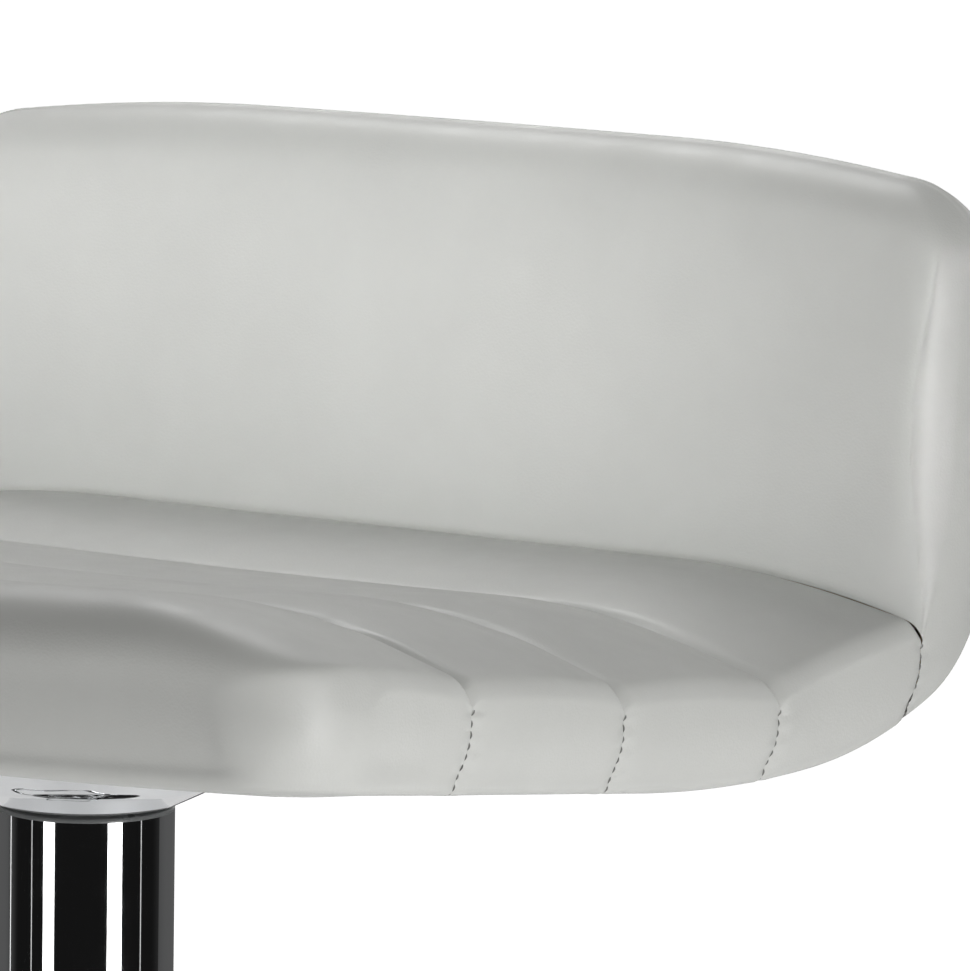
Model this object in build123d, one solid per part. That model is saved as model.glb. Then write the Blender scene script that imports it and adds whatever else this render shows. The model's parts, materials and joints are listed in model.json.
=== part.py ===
from build123d import *
import math
import os

os.makedirs("parts", exist_ok=True)

# Adjustable swivel stool with a low back, on a gas-lift column and a weighted trumpet base.
# Millimetres, +Z up. The origin is on the floor on the column's axis, and the sitter faces -Y.

# ---------- driving dimensions ----------
column_top = 505.0  # top rim of the column above the floor
column_od = 58.0
column_wall = 2.0
base_diameter = 385.0
seat_width = 424.0
seat_front = 188.0  # column's axis to the seat's front edge
underside_height = 26.9  # seat's underside above the column's rim, on the axis
seat_slope = 8.3  # degrees that the seat falls towards the back

# ---------- fits and gaps ----------
running = 0.05  # radial, a shaft that turns or slides in its bore
loose = 0.3  # radial, a part that only passes through
plate_gap = 1.5  # column's rim to the seat plate at the lowest seat
rest_gap = 0.3  # cylinder's foot to its bumper at the lowest seat
touch_gap = 0.1  # thin end gap between parts that turn on each other

# ---------- base ----------
edge_ring_height = 7.0
edge_ring_width = 8.5
rim_seat = 2.5  # floor to the bottom of the cover's rim, in the ring's groove
rim_inset = 2.3  # ring's outside to the cover's outside
cover_sheet = 1.2
neck_gap = 1.5  # column to the cover's neck, filled by the neck ring
sheet_level = 1.0  # floor to the bottom sheet
sheet_thickness = 1.5
sheet_gap = 0.5  # bottom sheet to the edge ring
weight_radius = 165.0
weight_thickness = 11.0
boss_radius = 58.0
boss_height = 4.0
foot_plate_radius = 50.0
foot_plate_thickness = 6.0
spigot_height = 20.0
spigot_wall = 4.0
foot_bolt_count = 4
foot_bolt_radius = 4.0
foot_bolt_circle = 39.0
foot_bolt_head = 6.5
foot_bolt_head_height = 5.0
sheet_screw_count = 3
sheet_screw_radius = 2.0
sheet_screw_circle = 140.0
sheet_screw_head = 4.5
sheet_screw_head_height = 0.8
sheet_screw_length = 10.0
neck_ring_height = 9.0
neck_ring_lip = 2.0

# ---------- rod anchor and thrust bearing ----------
anchor_thickness = 6.0
rod_radius = 5.0
stub_radius = 4.0  # the rod's lower end, through the bearing and the anchor
race_radius = 12.0
race_thickness = 2.0
ball_radius = 2.0
ball_count = 10
ball_circle = 8.4
cage_thickness = 1.6
cage_inner = 5.6
cage_outer = 11.4
bumper_height = 18.0
bumper_radius = 12.5
washer_radius = 9.0
washer_thickness = 1.5
clip_radius = 7.5
clip_thickness = 1.0
groove_depth = 0.8
clip_mouth = 5.0
stub_tail = 3.0

# ---------- gas cylinder ----------
nose_height = 14.0  # cylinder's top above the column's rim at the lowest seat
cylinder_radius = 14.0
cylinder_wall = 1.5
cylinder_length = 342.0
end_wall = 2.0
taper_shrink = 0.7  # radius lost along the taper
taper_length = 12.0
pressure_wall = 1.0
flow_gap = 1.0  # between the cylinder and the pressure tube
guide_length = 22.0
seal_height = 4.0
valve_block_length = 26.0
piston_height = 14.0
piston_rest = 8.0  # piston's top below the valve block at the lowest seat
piston_seal_radius = 1.2
valve_pin_radius = 3.4
valve_pin_height = 19.4  # top of the pin above the column's rim
valve_pin_length = 22.0
valve_pin_dome = 1.2
valve_travel_room = 6.0

# ---------- guide bush ----------
bush_length = 90.0
bush_lip = 1.2
bush_dome = 0.8
bush_dome_inset = 4.0

# ---------- footrest ----------
footrest_height = 215.0  # centre line above the floor
footrest_tube = 11.0  # outer radius
footrest_wall = 1.5
footrest_reach = 240.0  # column's axis to the front of the bar
footrest_half_width = 150.0  # centre line at the front corners
footrest_hip = (124.0, 66.0)  # where each arm turns forward: X and -Y
footrest_bends = [42.0, 52.0, 52.0, 42.0]
collar_height = 50.0
collar_wall = 3.0
liner_wall = 1.5
grub_radius = 3.0
grub_spacing = 26.0
grub_stand_out = 1.0
hex_socket_radius = 1.5
hex_socket_depth = 3.0

# ---------- seat plate ----------
plate_thickness = 3.0
plate_half_width = 94.0
plate_front = 98.0
plate_rear = 54.0
plate_corner = 14.0
bell_sheet = 2.5
socket_wall = 4.0
bell_floor = 12.0  # flat ring around the socket
bell_steps = [(4.0, 26.0), (17.0, 0.0), (8.0, 44.0), (30.0, 0.0)]
plate_window = 38.0  # radius of the plate's hole inside the bell
screw_half_spacing = 78.0
screw_stations = (-84.0, 38.0)  # along the underside, from the column's axis
screw_radius = 3.0
screw_head_radius = 5.2
screw_head_height = 3.6
screw_washer_radius = 7.0
screw_washer_thickness = 1.2
screw_length = 15.0
tee_flange_radius = 9.5
tee_flange = 1.2
tee_barrel_wall = 1.0
tee_barrel = 8.0

# ---------- lever ----------
lever_pivot = 33.0  # pivot's distance from the column's axis, towards -X
lever_level = 19.0  # pivot above the column's rim
lever_radius = 4.0
lever_droop = 12.0  # degrees below level
lever_end = 196.0  # column's axis to the lever's tip
tongue_width = 9.0
tongue_thickness = 3.0
tongue_rise = 0.5  # tongue's underside above the pivot
tongue_past = 7.0  # how far the tongue passes the axis
lever_pin_radius = 2.0
pin_head_radius = 3.2
pin_head = 1.0
lug_thickness = 2.0
lug_gap = 0.4
lug_half_width = 4.5
lug_below = 4.0
slot_half_width = 6.0
slot_below = 5.0
grip_radius = 6.8
grip_length = 58.0
grip_round = 4.0

# ---------- upholstered shell ----------
cover_thickness = 2.5  # felt and leatherette under and behind the shell
leatherette = 1.6
shell_thickness = 10.0
straight_behind = 10.0  # the underside is straight to this far behind the axis
sweep_radius = 727.0  # from the seat's slope to level
scoop_radius = 268.0
scoop_turn = 17.0
heel_radius = 53.0
back_angle = 82.0  # degrees from level
back_straight = 118.0
pad_wrap = 12.0  # padding around the shell's edges
front_corner = 32.0
back_corner = 34.0
back_top = 208.0  # top of the back above the column's rim
back_thickness = 33.0
crease_depth = 176.0  # column's axis to the crease between seat and back
crease_height = 74.0
front_lip = 86.0  # height of the seat's front above the column's rim, under its roll
pad_heights = [(83.0, 71.5), (-13.0, 85.5), (-101.0, 97.0), (-150.0, 101.5)]  # (Y, height)
back_bulge = [(184.0, 96.0), (191.0, 130.0), (199.0, 168.0)]
part_gap = 0.2  # seat padding to back padding, under the crease

# ---------- worked out from the sizes above ----------
column_radius = column_od / 2
column_bore = column_radius - column_wall
cover_outer = base_diameter / 2 - rim_inset
weight_bottom = sheet_level + sheet_thickness
weight_top = weight_bottom + weight_thickness
foot_plate_bottom = weight_top + boss_height
column_bottom = foot_plate_bottom + foot_plate_thickness
cylinder_top = column_top + nose_height
cylinder_bottom = cylinder_top - cylinder_length
cylinder_bore = cylinder_radius - cylinder_wall
shoulder = cylinder_bottom - rest_gap - bumper_height
upper_race_bottom = shoulder - race_thickness
balls_level = upper_race_bottom - ball_radius
anchor_top = balls_level - ball_radius - race_thickness
valve_block_top = cylinder_top - end_wall
valve_block_bottom = valve_block_top - valve_block_length
pressure_outer = cylinder_bore - flow_gap
pressure_bore = pressure_outer - pressure_wall
guide_bottom = cylinder_bottom + end_wall
guide_top = guide_bottom + guide_length
piston_top = valve_block_bottom - piston_rest
piston_bottom = piston_top - piston_height
plate_bottom = column_top + plate_gap
taper_start = cylinder_top - taper_length
collar_bore = column_radius + liner_wall
collar_outer = collar_bore + collar_wall


def save(node, *solids):
    """Writes one sub-part, of one solid or of a group of separate solids."""
    shape = solids[0] if len(solids) == 1 else Compound(children=list(solids))
    export_step(shape, f"parts/{node}.step")


def post(radius, bottom, top, x=0.0, y=0.0):
    """An upright cylinder between two levels."""
    return Pos(x, y, bottom) * Cylinder(
        radius, top - bottom, align=(Align.CENTER, Align.CENTER, Align.MIN)
    )


def ring(inner, outer, bottom, top):
    """An upright ring between two levels, on the column's axis."""
    return post(outer, bottom, top) - post(inner, bottom - 1, top + 1)


def turned(points):
    """A solid turned about the column's axis from corners given as (radius, level)."""
    return revolve(Plane.XZ * make_face(Polyline(*points, close=True)), Axis.Z)


def around(count, radius, start=0.0):
    """Evenly spaced places on a circle."""
    angles = [math.radians(start + 360 * k / count) for k in range(count)]
    return [(radius * math.cos(a), radius * math.sin(a)) for a in angles]


def bent_edges(start, heading, steps, offset=0.0):
    """Lines and tangent arcs from start, moved sideways to the path's left by offset.

    Each step is (length, 0) for a line or (radius, turn in degrees) for an arc, where a
    positive turn is to the left."""
    x, y = start
    angle = math.radians(heading)

    def moved(px, py, a):
        return (px - offset * math.sin(a), py + offset * math.cos(a))

    edges = []
    for size, turn in steps:
        first = moved(x, y, angle)
        if turn == 0:
            x, y = x + size * math.cos(angle), y + size * math.sin(angle)
            edges.append(Line(first, moved(x, y, angle)))
            continue
        side = math.copysign(size, turn)
        centre = (x - side * math.sin(angle), y + side * math.cos(angle))
        half, whole = angle + math.radians(turn) / 2, angle + math.radians(turn)
        spots = [
            moved(centre[0] + side * math.sin(a), centre[1] - side * math.cos(a), a)
            for a in (half, whole)
        ]
        x, y = centre[0] + side * math.sin(whole), centre[1] - side * math.cos(whole)
        angle = whole
        edges.append(ThreePointArc(first, spots[0], spots[1]))
    return edges


def bent_strip(start, heading, steps, low, high):
    """A bent sheet's section: everything between two offsets of one path."""
    below = bent_edges(start, heading, steps, low)
    above = bent_edges(start, heading, steps, high)
    caps = [Line(below[0] @ 0, above[0] @ 0), Line(below[-1] @ 1, above[-1] @ 1)]
    return make_face(below + above + caps)


# The underside of the seat in the YZ plane: it falls to the back, sweeps level, scoops up
# and turns into the back. Every layer of the seat is an offset of this one path.
slope = math.radians(seat_slope)
straight_length = (seat_front + straight_behind) / math.cos(slope)
underside_start = (
    -seat_front,
    column_top + underside_height + seat_front * math.tan(slope),
)
heel_turn = back_angle - scoop_turn
underside_steps = [
    (straight_length, 0.0),
    (sweep_radius, seat_slope),
    (scoop_radius, scoop_turn),
    (heel_radius, heel_turn),
    (back_straight, 0.0),
]
layer_depth = cover_thickness + shell_thickness


def seat_layer(low, high, width):
    """A layer that follows the underside from the seat's front to the back's top."""
    section = bent_strip(underside_start, -seat_slope, underside_steps, low, high)
    return extrude(Plane.YZ * section, width / 2, both=True)


def station(distance):
    """The plane on the underside at a distance behind the column's axis, facing up."""
    if distance <= straight_behind:
        turned_by, run = 0.0, (distance + seat_front) / math.cos(slope)
        y = underside_start[0] + run * math.cos(slope)
        z = underside_start[1] - run * math.sin(slope)
    else:
        rise = math.sin(slope) - (distance - straight_behind) / sweep_radius
        turned_by = slope - math.asin(rise)
        flat_z = underside_start[1] - straight_length * math.sin(slope)
        y = distance
        z = flat_z - sweep_radius * (math.cos(slope - turned_by) - math.cos(slope))
    tilt = slope - turned_by
    return Plane(
        origin=(0, y, z), x_dir=(1, 0, 0), z_dir=(0, math.sin(tilt), math.cos(tilt))
    )


def outline(inset, bottom, top):
    """An upright prism with the seat's plan outline, moved in from its edges."""
    half = seat_width / 2 - inset
    front = -seat_front + inset
    corner = front_corner - inset
    rear = seat_front + back_thickness + heel_radius
    plan = Pos(0, (front + rear) / 2) * Rectangle(2 * half, rear - front)
    corners = plan.vertices().sort_by(Axis.Y)[:2]
    return Pos(0, 0, bottom) * extrude(fillet(corners, corner), top - bottom)


def elevation(inset):
    """A prism along Y with the back's outline seen from the front."""
    half = seat_width / 2 - inset
    top = column_top + back_top - inset
    height = top - column_top
    face = Pos(0, (column_top + top) / 2) * Rectangle(2 * half, height)
    corners = face.vertices().sort_by(Axis.Y)[-2:]
    reach = 2 * seat_front
    return extrude(Plane.XZ * fillet(corners, back_corner - inset), reach, both=True)


# ---------- base ----------
def edge_ring():
    outer = base_diameter / 2
    body = ring(outer - edge_ring_width, outer, 0, edge_ring_height)
    groove = ring(cover_outer - cover_sheet, cover_outer, rim_seat, edge_ring_height + 1)
    top_edge = body.edges().filter_by(GeomType.CIRCLE).group_by(Axis.Z)[-1].sort_by(SortBy.RADIUS)[-1]
    return fillet(top_edge, rim_inset / 2) - groove


def cover_path():
    """The trumpet's outside as (radius, level), from the rim in the floor ring inwards."""
    neck = column_radius + neck_gap + cover_sheet
    rim = (rim_seat, edge_ring_height + 4.0)
    shoulder_radius, throat_radius = 8.0, 46.0
    rake, neck_angle = 6.0, 86.0
    shoulder_turn = 90 - rake
    r = cover_outer - shoulder_radius * (1 - math.sin(math.radians(rake)))
    bend = math.radians(neck_angle) - math.radians(rake)
    lean = math.radians(rake)
    throat_run = throat_radius * (math.sin(lean + bend) - math.sin(lean))
    neck_length = 14.0
    neck_run = neck_length * math.cos(math.radians(neck_angle))
    cone_run = r - neck - throat_run - neck_run
    steps = [
        (rim[1] - rim[0], 0.0),
        (shoulder_radius, shoulder_turn),
        (cone_run / math.cos(lean), 0.0),
        (throat_radius, -(neck_angle - rake)),
        (neck_length, 0.0),
    ]
    return (cover_outer, rim[0]), 90.0, steps


def base_cover():
    start, heading, steps = cover_path()
    sheet = bent_strip(start, heading, steps, 0.0, cover_sheet)
    return revolve(Plane.XZ * sheet, Axis.Z)


def neck_level():
    start, heading, steps = cover_path()
    return (bent_edges(start, heading, steps)[-1] @ 1).Y


def neck_ring():
    """A plastic ring that fills the neck and laps over the cover's upper edge."""
    top = neck_level()
    neck = column_radius + neck_gap
    body = ring(column_radius, neck - loose, top - neck_ring_height, top + neck_ring_lip)
    lip = ring(column_radius, neck + cover_sheet + loose, top + touch_gap, top + neck_ring_lip)
    whole = body + lip
    rims = whole.edges().filter_by(GeomType.CIRCLE).group_by(Axis.Z)[-1].sort_by(SortBy.RADIUS)
    return fillet(rims[-1], neck_ring_lip / 2)


def bottom_sheet():
    outer = base_diameter / 2 - edge_ring_width - sheet_gap
    sheet = post(outer, sheet_level, sheet_level + sheet_thickness)
    for x, y in around(sheet_screw_count, sheet_screw_circle, 90):
        sheet -= post(sheet_screw_radius + loose, 0, weight_top, x, y)
    for x, y in around(foot_bolt_count, foot_bolt_circle, 45):
        sheet -= post(foot_bolt_head + 1, 0, weight_bottom, x, y)
    return sheet


def sheet_screws():
    for x, y in around(sheet_screw_count, sheet_screw_circle, 90):
        head = post(sheet_screw_head, sheet_level - sheet_screw_head_height, sheet_level, x, y)
        shank = post(sheet_screw_radius, sheet_level - touch_gap, sheet_screw_length, x, y)
        yield head + shank


def base_weight():
    disc = post(weight_radius, weight_bottom, weight_top)
    disc = chamfer(disc.edges().group_by(Axis.Z)[-1], 3.0)
    disc += post(boss_radius, weight_top - 1, foot_plate_bottom)
    for x, y in around(foot_bolt_count, foot_bolt_circle, 45):
        disc -= post(foot_bolt_radius + loose, 0, column_top, x, y)
        disc -= post(foot_bolt_head + loose, 0, weight_bottom + foot_bolt_head_height, x, y)
    for x, y in around(sheet_screw_count, sheet_screw_circle, 90):
        disc -= post(sheet_screw_radius, 0, sheet_screw_length, x, y)
    return disc


def foot_plate():
    """A steel plate under the column, with a spigot that the tube is welded to."""
    plate = post(foot_plate_radius, foot_plate_bottom, column_bottom)
    plate += ring(column_bore - spigot_wall, column_bore, column_bottom - 1, column_bottom + spigot_height)
    for x, y in around(foot_bolt_count, foot_bolt_circle, 45):
        plate -= post(foot_bolt_radius, 0, column_top, x, y)
    return plate


def foot_bolts():
    seat = weight_bottom + foot_bolt_head_height
    for x, y in around(foot_bolt_count, foot_bolt_circle, 45):
        hexagon = Pos(x, y, weight_bottom) * extrude(
            RegularPolygon(foot_bolt_head, 6), foot_bolt_head_height
        )
        yield hexagon + post(foot_bolt_radius, seat - 1, column_bottom, x, y)


# ---------- column ----------
def column_tube():
    tube = ring(column_bore, column_radius, column_bottom, column_top - bush_lip)
    for side in (-1, 1):
        tube -= grub_hole(side, grub_radius, column_radius - 1, collar_outer)
    return tube


def guide_bush():
    """A plastic sleeve in the column's mouth, with a domed lip on the tube's rim."""
    bore = cylinder_radius + running
    lip_bottom = column_top - bush_lip
    return turned(
        [
            (bore, column_top - bush_length),
            (column_bore, column_top - bush_length),
            (column_bore, lip_bottom),
            (column_radius, lip_bottom),
            (column_radius, column_top - bush_lip / 2),
            (column_radius - bush_lip / 2, column_top),
            (column_radius - bush_dome_inset, column_top + bush_dome),
            (bore + 1, column_top + bush_dome),
            (bore, column_top),
        ]
    )


def rod_anchor():
    """A steel disc welded across the column, which the lift's rod turns in."""
    return ring(stub_radius + running, column_bore, anchor_top - anchor_thickness, anchor_top)


def lower_race():
    return ring(stub_radius + loose, race_radius, anchor_top, anchor_top + race_thickness)


# ---------- thrust bearing ----------
def ball_cage():
    half = cage_thickness / 2
    cage = ring(cage_inner, cage_outer, balls_level - half, balls_level + half)
    for x, y in around(ball_count, ball_circle):
        cage -= post(ball_radius + running, balls_level - ball_radius, balls_level + ball_radius, x, y)
    return cage


def bearing_balls():
    for x, y in around(ball_count, ball_circle):
        yield Pos(x, y, balls_level) * Sphere(ball_radius - running / 5)


def upper_race():
    return ring(stub_radius, race_radius, upper_race_bottom, shoulder)


# ---------- rod ----------
def clip_level():
    return anchor_top - anchor_thickness - touch_gap - washer_thickness - clip_thickness


def piston_rod():
    low = clip_level()
    rod = post(rod_radius, shoulder, piston_bottom)
    rod += post(stub_radius, low - stub_tail, shoulder + 1)
    rod += post(stub_radius, piston_bottom - 1, piston_top)
    rod -= ring(stub_radius - groove_depth, stub_radius + 1, low, low + clip_thickness)
    return chamfer(rod.edges().group_by(Axis.Z)[0], 0.6)


def retaining_clip():
    low = clip_level()
    body = ring(stub_radius - groove_depth, clip_radius, low, low + clip_thickness)
    mouth = Pos(0, clip_radius / 2, low + clip_thickness / 2) * Box(
        clip_mouth, clip_radius + 1, 2 * clip_thickness
    )
    return body - mouth


def thrust_washer():
    low = clip_level() + clip_thickness
    return ring(stub_radius, washer_radius, low, low + washer_thickness)


def stop_bumper():
    bumper = ring(rod_radius, bumper_radius, shoulder, shoulder + bumper_height)
    rim = bumper.edges().filter_by(GeomType.CIRCLE).group_by(Axis.Z)[-1].sort_by(SortBy.RADIUS)[-1]
    return chamfer(rim, 2.0)


def piston():
    body = ring(stub_radius, pressure_bore - running, piston_bottom, piston_top)
    middle = (piston_bottom + piston_top) / 2
    groove = ring(
        pressure_bore - 2 * piston_seal_radius,
        pressure_bore + 1,
        middle - piston_seal_radius,
        middle + piston_seal_radius,
    )
    return body - groove


def piston_seal():
    middle = (piston_bottom + piston_top) / 2
    return Pos(0, 0, middle) * Torus(
        pressure_bore - running - piston_seal_radius, piston_seal_radius - running
    )


# ---------- gas cylinder ----------
def gas_cylinder():
    """A steel cylinder with a tapered nose, closed around the rod at the foot."""
    nose = cylinder_radius - taper_shrink
    body = turned(
        [
            (0, cylinder_bottom),
            (cylinder_radius, cylinder_bottom),
            (cylinder_radius, taper_start),
            (nose, cylinder_top),
            (0, cylinder_top),
        ]
    )
    body -= post(nose - cylinder_wall, taper_start, valve_block_top)
    body -= post(cylinder_bore, guide_bottom, taper_start)
    body -= post(rod_radius + loose, cylinder_bottom - 1, guide_bottom + 1)
    return body - post(valve_pin_radius + loose, valve_block_top - 1, cylinder_top + 1)


def rod_guide():
    body = ring(rod_radius + running, cylinder_bore, guide_bottom + seal_height, guide_top)
    return body


def rod_seal():
    return ring(rod_radius + running, cylinder_bore, guide_bottom, guide_bottom + seal_height)


def pressure_tube():
    return ring(pressure_bore, pressure_outer, guide_top, valve_block_bottom)


def valve_block():
    nose_bore = cylinder_radius - taper_shrink - cylinder_wall
    block = post(nose_bore, taper_start, valve_block_top)
    block += post(cylinder_bore, valve_block_bottom, taper_start)
    floor = column_top + valve_pin_height - valve_pin_length - valve_travel_room
    return block - post(valve_pin_radius + running, floor, cylinder_top)


def valve_pin():
    top = column_top + valve_pin_height
    flat = valve_pin_radius / 2
    return turned(
        [
            (0, top - valve_pin_length),
            (valve_pin_radius, top - valve_pin_length),
            (valve_pin_radius, top - valve_pin_dome),
            (flat, top - valve_pin_dome / 4),
            (0, top),
        ]
    )


# ---------- footrest ----------
def grub_hole(side, radius, near, far):
    """A cylinder across the back of the collar, where a grub screw goes."""
    level = footrest_height + side * grub_spacing / 2
    return Plane(origin=(0, near, level), z_dir=(0, 1, 0)) * Cylinder(
        radius, far - near, align=(Align.CENTER, Align.CENTER, Align.MIN)
    )


def footrest_loop():
    """A bent tube from one side of the collar around the front to the other side."""
    front = footrest_reach - footrest_tube
    hip_x, hip_y = footrest_hip
    root = collar_bore * math.sqrt(0.5)
    half = [(-root, -root / 2), (-hip_x, -hip_y), (-footrest_half_width, -front)]
    points = half + [(-x, y) for x, y in reversed(half)]
    path = FilletPolyline(*[(x, y, footrest_height) for x, y in points], radius=footrest_bends)
    end = Plane(origin=path @ 0, z_dir=path % 0)
    outer = sweep(end * Circle(footrest_tube), path)
    inner = sweep(end * Circle(footrest_tube - footrest_wall), path)
    core = post(collar_outer, footrest_height - collar_height, footrest_height + collar_height)
    return (outer - inner) - core


def footrest_collar():
    low, high = footrest_height - collar_height / 2, footrest_height + collar_height / 2
    collar = ring(collar_bore, collar_outer, low, high)
    rims = collar.edges().filter_by(GeomType.CIRCLE).sort_by(SortBy.RADIUS)[-2:]
    collar = chamfer(rims, 0.8)
    for side in (-1, 1):
        collar -= grub_hole(side, grub_radius, column_radius, collar_outer + 1)
    return collar


def collar_liner():
    low, high = footrest_height - collar_height / 2, footrest_height + collar_height / 2
    liner = ring(column_radius, collar_bore, low, high)
    for side in (-1, 1):
        liner -= grub_hole(side, grub_radius, column_radius - 1, collar_outer + 1)
    return liner


def collar_screws():
    for side in (-1, 1):
        far = collar_outer + grub_stand_out
        screw = grub_hole(side, grub_radius, column_radius - 1, far)
        yield screw - grub_hole(side, hex_socket_radius, far - hex_socket_depth, far + 1)


# ---------- seat plate ----------
def above_plate():
    """The space over the underside of the plate's flange."""
    return seat_layer(-plate_thickness, underside_height, seat_width)


def bell():
    """The stamped bell around the socket, from its flat floor up to the flange."""
    start = (cylinder_radius + socket_wall, plate_bottom)
    steps = [(bell_floor, 0.0)] + bell_steps
    sheet = bent_strip(start, 0.0, steps, 0.0, bell_sheet)
    return revolve(Plane.XZ * sheet, Axis.Z)


def seat_plate():
    flange = seat_layer(-plate_thickness, 0.0, 2 * plate_half_width)
    centre = (plate_rear - plate_front) / 2
    plan = Pos(0, centre) * RectangleRounded(
        2 * plate_half_width, plate_rear + plate_front, plate_corner
    )
    flange &= Pos(0, 0, column_top) * extrude(plan, back_top)
    flange -= post(plate_window, column_top, column_top + back_top)
    plate = flange + (bell() - above_plate())
    for screw in screw_places():
        plate -= screw * post(screw_radius + loose, -plate_thickness - 1, 1)
    slot_reach = 2 * lever_pivot
    slot = Pos(-slot_reach, 0, column_top + lever_level) * Box(
        slot_reach,
        2 * slot_half_width,
        slot_below + lever_radius,
        align=(Align.MIN, Align.CENTER, Align.MAX),
    )
    slot += Pos(-slot_reach, 0, column_top + lever_level - lever_radius) * Box(
        slot_reach,
        2 * slot_half_width,
        2 * lever_radius,
        align=(Align.MIN, Align.CENTER, Align.MIN),
    )
    bell_only = slot & post(slot_reach, column_top, column_top + back_top)
    bell_only -= above_plate()
    return plate - bell_only


def screw_places():
    for distance in screw_stations:
        for side in (-1, 1):
            yield station(distance) * Pos(side * screw_half_spacing, 0, 0)


def taper_socket():
    """The ring welded into the bell, with the seat of the cylinder's taper."""
    outer = cylinder_radius + socket_wall
    slope_per_mm = taper_shrink / taper_length
    top = cylinder_top
    bore_top = cylinder_radius - taper_shrink
    bore_bottom = cylinder_radius - max(0.0, plate_bottom - taper_start) * slope_per_mm
    corners = [(bore_bottom, plate_bottom), (outer, plate_bottom), (outer, top), (bore_top, top)]
    if plate_bottom < taper_start:
        corners.append((cylinder_radius, taper_start))
    return turned(corners)


def plate_screws():
    for place in screw_places():
        seat = -plate_thickness - screw_washer_thickness
        head = post(screw_head_radius, seat - screw_head_height, seat)
        head -= post(screw_radius / 2, seat - screw_head_height - 1, seat - screw_head_height / 2)
        yield place * (head + post(screw_radius, seat - 1, seat + screw_length))


def plate_washers():
    seat = -plate_thickness - screw_washer_thickness
    for place in screw_places():
        yield place * ring(screw_radius + loose, screw_washer_radius, seat, -plate_thickness)


def tee_nuts():
    for place in screw_places():
        barrel_top = layer_depth + tee_flange
        outside = screw_radius + tee_barrel_wall
        barrel = ring(screw_radius, outside, layer_depth - tee_barrel, barrel_top)
        flange = ring(screw_radius, tee_flange_radius, layer_depth, layer_depth + tee_flange)
        yield place * (barrel + flange)


# ---------- lever ----------
def pivot_plane(offset=0.0):
    """The plane across the lever's pivot, facing +Y."""
    return Plane(
        origin=(-lever_pivot, offset, column_top + lever_level), x_dir=(1, 0, 0), z_dir=(0, -1, 0)
    )


def across(radius, half, plane):
    """A cylinder along Y, centred on a pivot plane."""
    return plane * Cylinder(radius, 2 * half)


def lever_direction():
    droop = math.radians(lever_droop)
    return Plane(
        origin=(-lever_pivot, 0, column_top + lever_level),
        x_dir=(0, 1, 0),
        z_dir=(-math.cos(droop), 0, -math.sin(droop)),
    )


def lever_length():
    return (lever_end - lever_pivot) / math.cos(math.radians(lever_droop))


def lever_rod():
    along = lever_direction()
    rod = along * post(lever_radius, 0, lever_length())
    eye = across(lever_radius, tongue_width / 2, pivot_plane())
    reach = lever_pivot + tongue_past
    tongue = Pos(-lever_pivot, 0, column_top + lever_level + tongue_rise) * Box(
        reach, tongue_width, tongue_thickness, align=(Align.MIN, Align.CENTER, Align.MIN)
    )
    lever = rod + eye + tongue
    return lever - across(lever_pin_radius + running, tongue_width, pivot_plane())


def lever_grip():
    far = lever_length() + lever_radius
    grip = post(grip_radius, far - grip_length, far)
    grip = fillet(grip.edges().group_by(Axis.Z)[-1], grip_round)
    grip = fillet(grip.edges().group_by(Axis.Z)[0], grip_round / 2)
    grip -= post(lever_radius, far - grip_length - 1, lever_length())
    return lever_direction() * grip


def lever_lugs():
    """Two lugs welded under the flange, which hold the lever's pin."""
    middle = tongue_width / 2 + lug_gap + lug_thickness / 2
    for side in (-1, 1):
        lug = Pos(-lever_pivot, side * middle, column_top + lever_level - lug_below) * Box(
            2 * lug_half_width,
            lug_thickness,
            underside_height,
            align=(Align.CENTER, Align.CENTER, Align.MIN),
        )
        lug -= above_plate()
        yield lug - across(lever_pin_radius, seat_width, pivot_plane())


def lever_pin():
    half = tongue_width / 2 + lug_gap + lug_thickness
    pin = across(lever_pin_radius, half, pivot_plane())
    for side in (-1, 1):
        pin += across(pin_head_radius, pin_head / 2, pivot_plane(side * (half + pin_head / 2)))
    return pin


# ---------- upholstered shell ----------
def padded_form(inset):
    """The closed form of the upholstered seat and back, moved in from its outside."""
    under = bent_edges(underside_start, -seat_slope, underside_steps, inset)
    rear = under[-1] @ 1
    top = column_top + back_top - inset
    roll = back_thickness / 2 - inset
    shoulder_level = top - roll
    front_edge = (rear.X - 2 * roll, shoulder_level)
    crease = (crease_depth + inset, column_top + crease_height - inset)
    face_points = [(y + inset, column_top + z) for y, z in reversed(back_bulge)]
    seat_points = [(y, column_top + z - inset) for y, z in pad_heights]
    low = under[0] @ 0
    nose = (low.X, column_top + front_lip - inset)
    edges = under + [
        Line(rear, (rear.X, shoulder_level)),
        ThreePointArc((rear.X, shoulder_level), (rear.X - roll, top), front_edge),
        Spline(front_edge, *face_points, crease),
        Spline(crease, *seat_points, nose),
        Line(nose, low),
    ]
    body = extrude(Plane.YZ * make_face(edges), seat_width / 2 - inset, both=True)
    return body & outline(inset, column_top, column_top + 2 * back_top) & elevation(inset)


def pocket():
    """The space that the shell and its cover fill inside the padding."""
    zone = seat_layer(-1.0, layer_depth, seat_width - 2 * pad_wrap)
    zone &= outline(pad_wrap, column_top, column_top + 2 * back_top)
    return zone & elevation(pad_wrap)


def shell_layer(low, high):
    layer = seat_layer(low, high, seat_width - 2 * pad_wrap)
    layer &= outline(pad_wrap, column_top, column_top + 2 * back_top)
    return layer & elevation(pad_wrap)


def seat_shell():
    shell = shell_layer(cover_thickness, layer_depth)
    for place in screw_places():
        shell -= place * post(screw_radius + tee_barrel_wall, 0, 2 * layer_depth)
        shell -= place * post(tee_flange_radius, layer_depth, 2 * layer_depth)
    return shell


def outer_cover():
    cover = shell_layer(0.0, cover_thickness)
    for place in screw_places():
        cover -= place * post(screw_radius + loose, -1, layer_depth)
    return cover


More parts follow.
